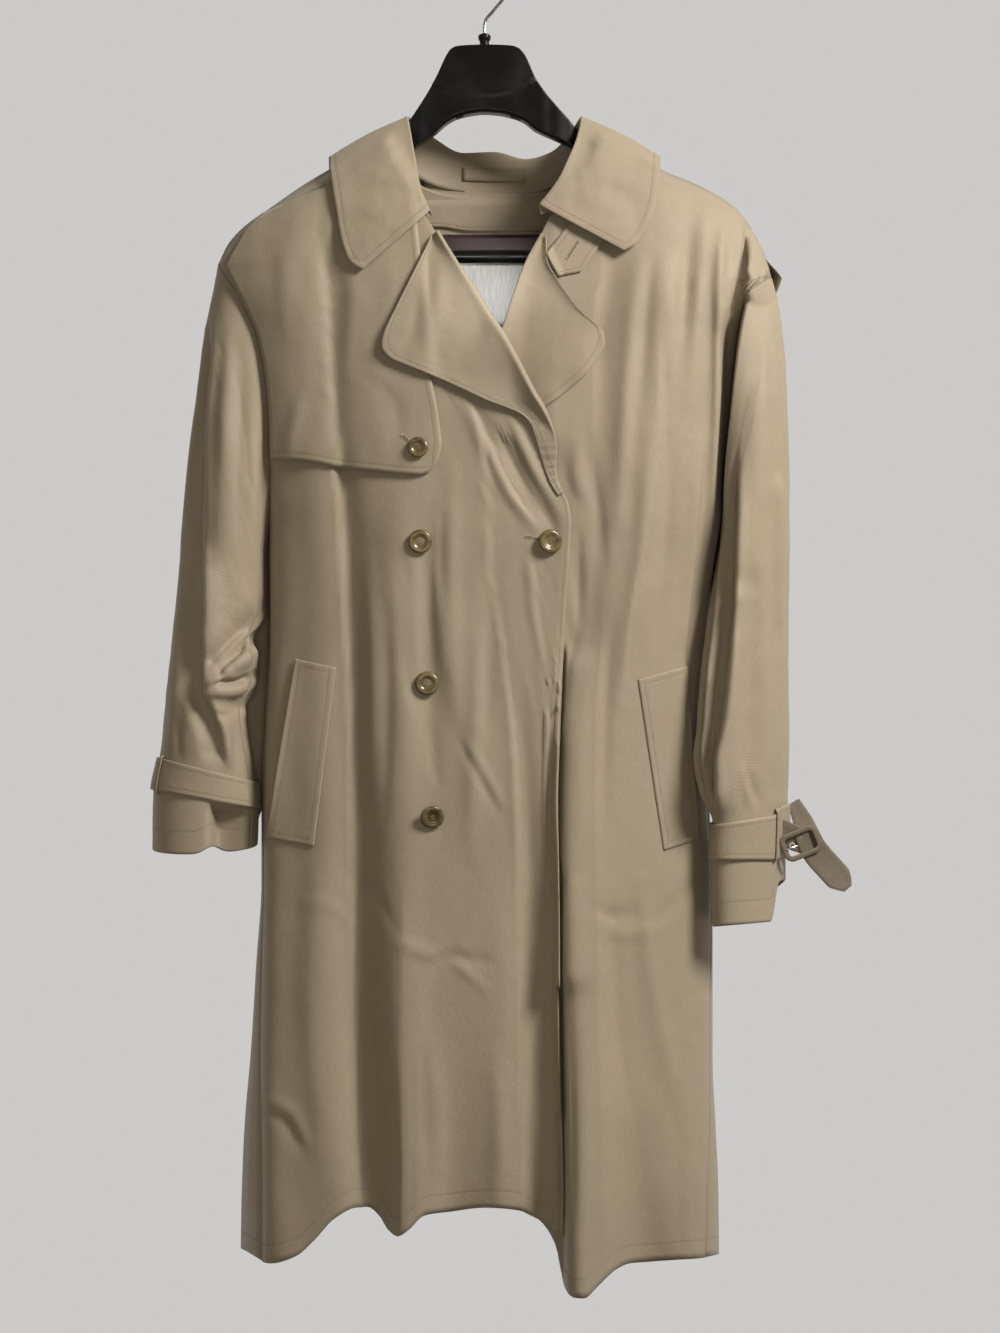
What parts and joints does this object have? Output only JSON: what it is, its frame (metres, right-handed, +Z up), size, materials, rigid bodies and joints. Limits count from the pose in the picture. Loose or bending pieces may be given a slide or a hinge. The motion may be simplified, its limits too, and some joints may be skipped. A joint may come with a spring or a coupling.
{
  "type": "trench coat on a hanger",
  "caption": "Khaki double-breasted trench coat hanging open-necked on a black plastic suit hanger with a trouser bar.",
  "frame": {"origin": "the hanger's hook, at the inside top of the bend where a rail holds it", "axes": "+Z up, -Y toward the front of the coat, +X toward the wearer's left"},
  "size_m": [0.692, 0.2138, 1.3138],
  "materials": {
    "khaki_gabardine": "matt cotton gabardine, fine diagonal twill",
    "strap_leather": "worn, darker cloth of the strap end and covered buckle",
    "horn": "polished brown horn-look buttons",
    "lining": "dark maroon satin lining",
    "label_ivory": "ivory satin, bare",
    "hanger_plastic": "black satin plastic",
    "steel": "bright plated steel wire"
  },
  "bodies": {
    "root": {"back_left": "khaki_gabardine", "back_lining": "lining", "back_neck_facing": "khaki_gabardine", "back_right": "khaki_gabardine", "back_storm_shield": "khaki_gabardine", "button_chest": "horn", "button_flap": "horn", "button_lap": "horn", "button_low": "horn", "button_waist": "horn", "collar": "khaki_gabardine", "collar_stand": "khaki_gabardine", "hanger_body": "hanger_plastic", "hanger_hook": "steel", "hanging_loop": "khaki_gabardine", "hook_ferrule": "hanger_plastic", "label": "label_ivory", "left_buckle": "strap_leather", "left_cuff_strap": "khaki_gabardine", "left_front": "khaki_gabardine", "left_lapel": "khaki_gabardine", "left_pocket_welt": "khaki_gabardine", "left_shoulder_tab": "khaki_gabardine", "left_strap_end": "strap_leather", "left_strap_loop": "khaki_gabardine", "left_top_sleeve": "khaki_gabardine", "left_under_sleeve": "khaki_gabardine", "right_cuff_strap": "khaki_gabardine", "right_front": "khaki_gabardine", "right_lapel": "khaki_gabardine", "right_pocket_welt": "khaki_gabardine", "right_strap_loop": "khaki_gabardine", "right_top_sleeve": "khaki_gabardine", "right_under_sleeve": "khaki_gabardine", "storm_flap": "khaki_gabardine", "throat_latch": "khaki_gabardine"}
  },
  "joints": []
}
